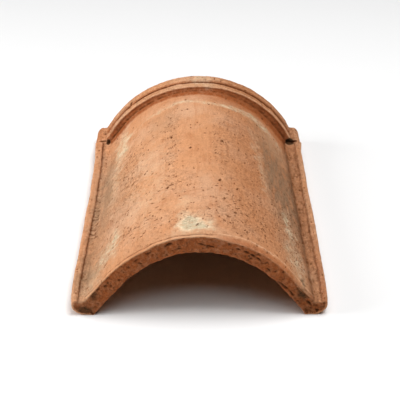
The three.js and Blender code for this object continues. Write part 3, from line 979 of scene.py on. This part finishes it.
ORANGE = (0.56, 0.265, 0.128, 1)
PALE_ORANGE = (0.58, 0.32, 0.185, 1)
RED = (0.40, 0.150, 0.058, 1)
RAW_AND_SHADE_COLOUR = (0.345, 0.097, 0.030, 1)
BLOOM_COLOUR = (0.66, 0.53, 0.36, 1)
GREEN_BLOOM = (0.40, 0.35, 0.20, 1)
LIME_COLOUR = (0.72, 0.57, 0.385, 1)
LIME_HEART = (0.50, 0.42, 0.28, 1)
SOOT_COLOUR = (0.27, 0.158, 0.089, 1)
WORN_AND_HIGHLIGHT_COLOUR = (0.68, 0.39, 0.23, 1)
DIRT_AND_SHADE_COLOUR = (0.10, 0.027, 0.007, 1)
MOSS_AND_SHADE_COLOUR = (0.030, 0.024, 0.012, 1)
# Painted shade in specks, pits and hollows, darkest in the deepest hollows.
SPECK_COLOUR = (0.20, 0.066, 0.024, 1)
HOLLOW_SHADE_COLOUR = (0.15, 0.052, 0.018, 1)
DEEP_SHADE_COLOUR = (0.045, 0.014, 0.005, 1)
SPECULAR_LEVEL = 0.04


class Nodes:
    """Short calls that add a node to a material and give back its main output."""

    def __init__(self, tree):
        self.tree = tree
        self.place = self.add("TexCoord", "Object")

    def add(self, kind, output, settings=None, **inputs):
        """Add a node. Its inputs go by name, or by number after an underscore."""
        node = self.tree.nodes.new("ShaderNode" + kind)
        for name, value in (settings or {}).items():
            setattr(node, name, value)
        for name, value in inputs.items():
            socket = node.inputs[int(name[1:]) if name[0] == "_" else name.replace("_", " ")]
            if isinstance(value, bpy.types.NodeSocket):
                self.tree.links.new(value, socket)
            else:
                socket.default_value = value
        return node.outputs[output]

    def math(self, operation, first, second):
        return self.add("Math", "Value", {"operation": operation}, _0=first, _1=second)

    def plus(self, first, second):
        return self.math("ADD", first, second)

    def times(self, first, second):
        return self.math("MULTIPLY", first, second)

    def most(self, first, second):
        return self.math("MAXIMUM", first, second)

    def grade(self, value, low, high, start=0.0, end=1.0):
        """From start to end while value goes from low to high, and level outside them."""
        return self.add("MapRange", "Result", {"interpolation_type": "SMOOTHSTEP"},
                        Value=value, From_Min=low, From_Max=high, To_Min=start, To_Max=end)

    def mix(self, share, under, over):
        return self.add("Mix", 2, {"data_type": "RGBA"}, _0=share, _6=under, _7=over)

    def shade(self, colour, amount):
        """The colour made darker or lighter as a whole."""
        return self.add("Mix", 2, {"data_type": "RGBA", "blend_type": "MULTIPLY"},
                        _0=1, _6=colour, _7=amount)

    def bump(self, height, strength, depth, under=None):
        """Lay relief of the given depth in mm over under; a negative strength sinks it."""
        over = {"Normal": under} if under else {}
        return self.add("Bump", "Normal", {"invert": strength < 0}, Height=height,
                        Strength=abs(strength), Distance=depth * MM, **over)

    def stretched(self, x, y, z):
        return self.add("Mapping", "Vector", Vector=self.place, Scale=(x, y, z))

    def noise(self, size, detail=3, place=None, roughness=0.55):
        return self.add("TexNoise", "Fac", Vector=place or self.place,
                        Scale=1 / (size * MM), Detail=detail, Roughness=roughness)

    def coat(self, colour, *coats):
        """Lay pairs of share and colour over the colour, in turn."""
        for share, over in coats:
            colour = self.mix(share, colour, over)
        return colour

    def mask(self, name):
        return self.add("Attribute", "Fac", {"attribute_name": name})

    def patchy(self, name, cloud, low, high, least, most):
        """A mask thinned by a noise, which leaves between least and most of it."""
        return self.times(self.mask(name), self.grade(cloud, low, high, least, most))

    def ragged(self, name, size, full):
        """A mask broken up by noise, so that its edges turn out ragged."""
        broken = self.plus(self.mask(name), self.noise(size, 6, roughness=0.65))
        return self.grade(broken, 0.62, full, 0, 0.92)

    def pits(self, cell, radius, crowd):
        """1 in the middle of small ragged pits, sized in mm and drawn out along the ridge."""
        cloud = self.add("TexNoise", "Color", Vector=self.place, Scale=1 / (2 * MM))
        warped = self.add("VectorMath", "Vector", {"operation": "MULTIPLY_ADD"},
                          _0=cloud, _1=(2.4 * MM,) * 3, _2=self.place)
        place = self.add("Mapping", "Vector", Vector=warped, Scale=(1, 0.5, 1))
        away = self.add("TexVoronoi", "Distance", Vector=place, Scale=1 / (cell * MM))
        draw = away.node.outputs["Color"]
        near = self.grade(away, radius / cell, 0.6 * radius / cell)
        return self.times(near, self.grade(self.plus(draw, crowd), 0.98, 1.02))


def fired_clay(clay):
    """The clay's colour: orange, redder in clouds and streaks, and cut faces. Its red and raw coats
    also lay painted shade.
    """
    drawn = clay.stretched(1, 0.12, 1)
    return clay.coat(
        ORANGE,
        (clay.grade(clay.noise(60), 0.35, 0.7), PALE_ORANGE),
        (clay.grade(clay.noise(26, 4), 0.5, 0.8, 0, 0.55), RED),
        (clay.grade(clay.noise(5, 3, drawn), 0.5, 0.72, 0, 0.35), RED),
        (clay.times(clay.mask("red_and_shade"), 0.7), RED),
        (clay.patchy("raw_and_shade", clay.noise(5, 5), 0.65, 0.4, 0.72, 1), RAW_AND_SHADE_COLOUR))


def weathered(clay, colour):
    """Bloom, lime, soot, wear, dirt and moss over the clay, with painted shade in creases, hollows
    and pockets and painted highlight on ridges.
    """
    film = clay.patchy("bloom", clay.noise(4.5, 6), 0.36, 0.6, 0.3, 1)
    film = clay.times(film, clay.grade(clay.noise(16, 4), 0.36, 0.56, 0.55, 1))
    pale = clay.mix(clay.grade(clay.noise(9), 0.52, 0.66, 0, 0.7), BLOOM_COLOUR, GREEN_BLOOM)
    lime = clay.mask("lime")
    crust = clay.coat(
        LIME_COLOUR,
        (clay.grade(lime, 0.55, 0.9), LIME_HEART),
        (clay.grade(clay.noise(3.5, 4), 0.54, 0.68), LIME_COLOUR))
    broken = clay.grade(clay.noise(4, 5), 0.3, 0.55, 0.4, 0.9)
    smoke = clay.noise(3.5, 5, clay.stretched(1, 0.12, 1))
    return clay.coat(
        colour,
        (film, pale),
        (clay.times(clay.grade(lime, 0, 0.8), broken), crust),
        (clay.patchy("soot", smoke, 0.3, 0.62, 0.62, 0.96), SOOT_COLOUR),
        (clay.patchy("worn_and_highlit", clay.noise(6, 4), 0.4, 0.65, 0.18, 0.54), WORN_AND_HIGHLIGHT_COLOUR),
        # Painted highlight on the bead's crest and the burr.
        (clay.patchy("painted_highlight", clay.noise(4), 0.35, 0.55, 0.3, 0.9), WORN_AND_HIGHLIGHT_COLOUR),
        # Painted shade in creases, then dirt with painted shade, both in one dark colour.
        (clay.times(clay.mask("crease_shade"), 0.8), DIRT_AND_SHADE_COLOUR),
        (clay.ragged("dirt_and_shade", 3, 1.6), DIRT_AND_SHADE_COLOUR),
        # Moss, and painted shade in the pockets.
        (clay.ragged("moss_and_shade", 2, 1.3), MOSS_AND_SHADE_COLOUR))


def new_material(name):
    """A material, and the inputs of its shader."""
    material = bpy.data.materials.new(name)
    material.use_nodes = True
    return material, material.node_tree.nodes["Principled BSDF"].inputs


def clay_material():
    """One material for the whole tile. The masks on its mesh say where each coat lies."""
    material, shader = new_material("weathered_clay")
    clay = Nodes(material.node_tree)
    colour = weathered(clay, fired_clay(clay))

    pitted = clay.mask("pitted")
    blotch = clay.noise(2.8, 4, clay.stretched(1, 0.6, 1), 0.6)
    blotched = clay.shade(colour, clay.grade(blotch, 0.34, 0.66, 1.1, 0.88))
    colour = clay.mix(clay.grade(pitted, 0.2, 0.7, 0.25, 1), colour, blotched)
    grain = clay.noise(1.7, 4, roughness=0.7)
    colour = clay.shade(colour, clay.grade(grain, 0.3, 0.7, 1.1, 0.9))

    crowd = clay.grade(pitted, 0, 1, 0.04, 0.66)
    worms = clay.noise(4.2, 2)
    curls = clay.times(clay.grade(worms, 0.475, 0.5), clay.grade(worms, 0.525, 0.5))
    curls = clay.times(curls, clay.grade(clay.plus(clay.noise(7), crowd), 0.72, 0.85))
    specks = clay.most(clay.pits(3.6, 1, clay.times(crowd, 0.8)), clay.times(curls, 0.6))
    pits = clay.pits(5.6, 1.35, clay.times(crowd, 0.6))
    # Specks, pits, sunk hollows and cracks are darkened with painted shade, the deepest almost
    # black.
    hollow = clay.mask("hollow")
    dark = clay.times(clay.most(pits, clay.grade(hollow, 0.2, 0.7)), 0.8)
    colour = clay.coat(
        colour,
        (clay.times(specks, 0.85), SPECK_COLOUR),
        (dark, HOLLOW_SHADE_COLOUR),
        (clay.grade(hollow, 0.65, 0.95, 0, 0.8), DEEP_SHADE_COLOUR))

    along = clay.bump(clay.noise(1.8, 5, clay.stretched(1, 0.14, 1)), 0.8, 0.5)
    across = clay.bump(clay.noise(2, 5, clay.stretched(0.3, 1, 0.5)), 0.6, 0.5, along)
    fine = clay.bump(grain, 1, 0.6, across)
    sunk = clay.bump(clay.most(clay.times(specks, 0.6), pits), -1, 1, fine)
    roughness = clay.grade(clay.noise(11, 4), 0.3, 0.7, 0.84, 0.97)
    for name, value in (("Base Color", colour), ("Roughness", roughness), ("Normal", sunk)):
        clay.tree.links.new(value, shader[name])
    shader["Specular IOR Level"].default_value = SPECULAR_LEVEL
    return material


def add_object(name, data):
    thing = bpy.data.objects.new(name, data)
    bpy.context.collection.objects.link(thing)
    return thing


def make_tile():
    points, faces, step = build_skin()
    mesh = mesh_of(points, faces)
    skin = Skin(points, step, normals_of(mesh))
    places = places_on(skin)
    chance = np.random.default_rng(SEED)
    score(skin, chance)
    roughen(skin, places)
    finish_collar(skin, places)
    pit_surface(skin, chance)
    moved = np.clip(points - skin.normals * skin.sink[:, None], lowest, highest)
    mesh.vertices.foreach_set("co", (moved * MM).ravel())
    mesh.update()
    masks = weather(skin, places | weathered_places(skin))
    wear_soil_and_shade(skin, mesh, masks)
    paint(mesh, masks)
    mesh.materials.append(clay_material())
    return add_object(mesh.name, mesh)


# ---- Stage ----

PICTURE_WIDTH = 400  # pixels
FOCAL_LENGTH = 1095  # in the same pixels
CAMERA_PLACE = (-4.5, -HALF_LENGTH - 899, 653)
CAMERA_TURN = (60, 0, -0.317)  # degrees; 30 below level
FLOOR_SIZE = 12
FLOOR_COLOUR = (0.82, 0.82, 0.82, 1)
FLOOR_ROUGHNESS = 0.9
SOFTBOXES = (  # name, place and size in metres, watts
    ("above_front", (0, -0.68, 2.09), 1.8, 24.3),
    ("above_right", (0.68, 0, 2.09), 1.3, 38.5),
    ("low_left", (-2.04, 0, 0.82), 1.3, 42),
)


def make_floor():
    bpy.ops.mesh.primitive_plane_add(size=FLOOR_SIZE)
    floor = bpy.context.object
    floor.name = "floor"
    material, shader = new_material("floor")
    shader["Base Color"].default_value = FLOOR_COLOUR
    shader["Roughness"].default_value = FLOOR_ROUGHNESS
    floor.data.materials.append(material)
    return floor


def light():
    """Three softboxes that face the tile, and no other light."""
    world = bpy.data.worlds.new("world")
    bpy.context.scene.world = world
    world.use_nodes = True
    world.node_tree.nodes["Background"].inputs["Strength"].default_value = 0
    for name, place, size, watts in SOFTBOXES:
        softbox = bpy.data.lights.new(name, "AREA")
        softbox.size = size
        softbox.energy = watts
        lamp = add_object(name, softbox)
        lamp.location = place
        lamp.rotation_euler = (-Vector(place)).to_track_quat("-Z", "Y").to_euler()


def look():
    """The photograph's camera, and colours shown as they are."""
    camera = bpy.data.cameras.new("camera")
    camera.lens = camera.sensor_width * FOCAL_LENGTH / PICTURE_WIDTH
    eye = add_object("camera", camera)
    eye.location = np.array(CAMERA_PLACE) * MM
    eye.rotation_euler = [math.radians(angle) for angle in CAMERA_TURN]
    bpy.context.scene.camera = eye
    bpy.context.scene.view_settings.view_transform = "Standard"


tile = make_tile()
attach(tile, "root")
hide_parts("ridge_tile")
make_floor()
light()
look()
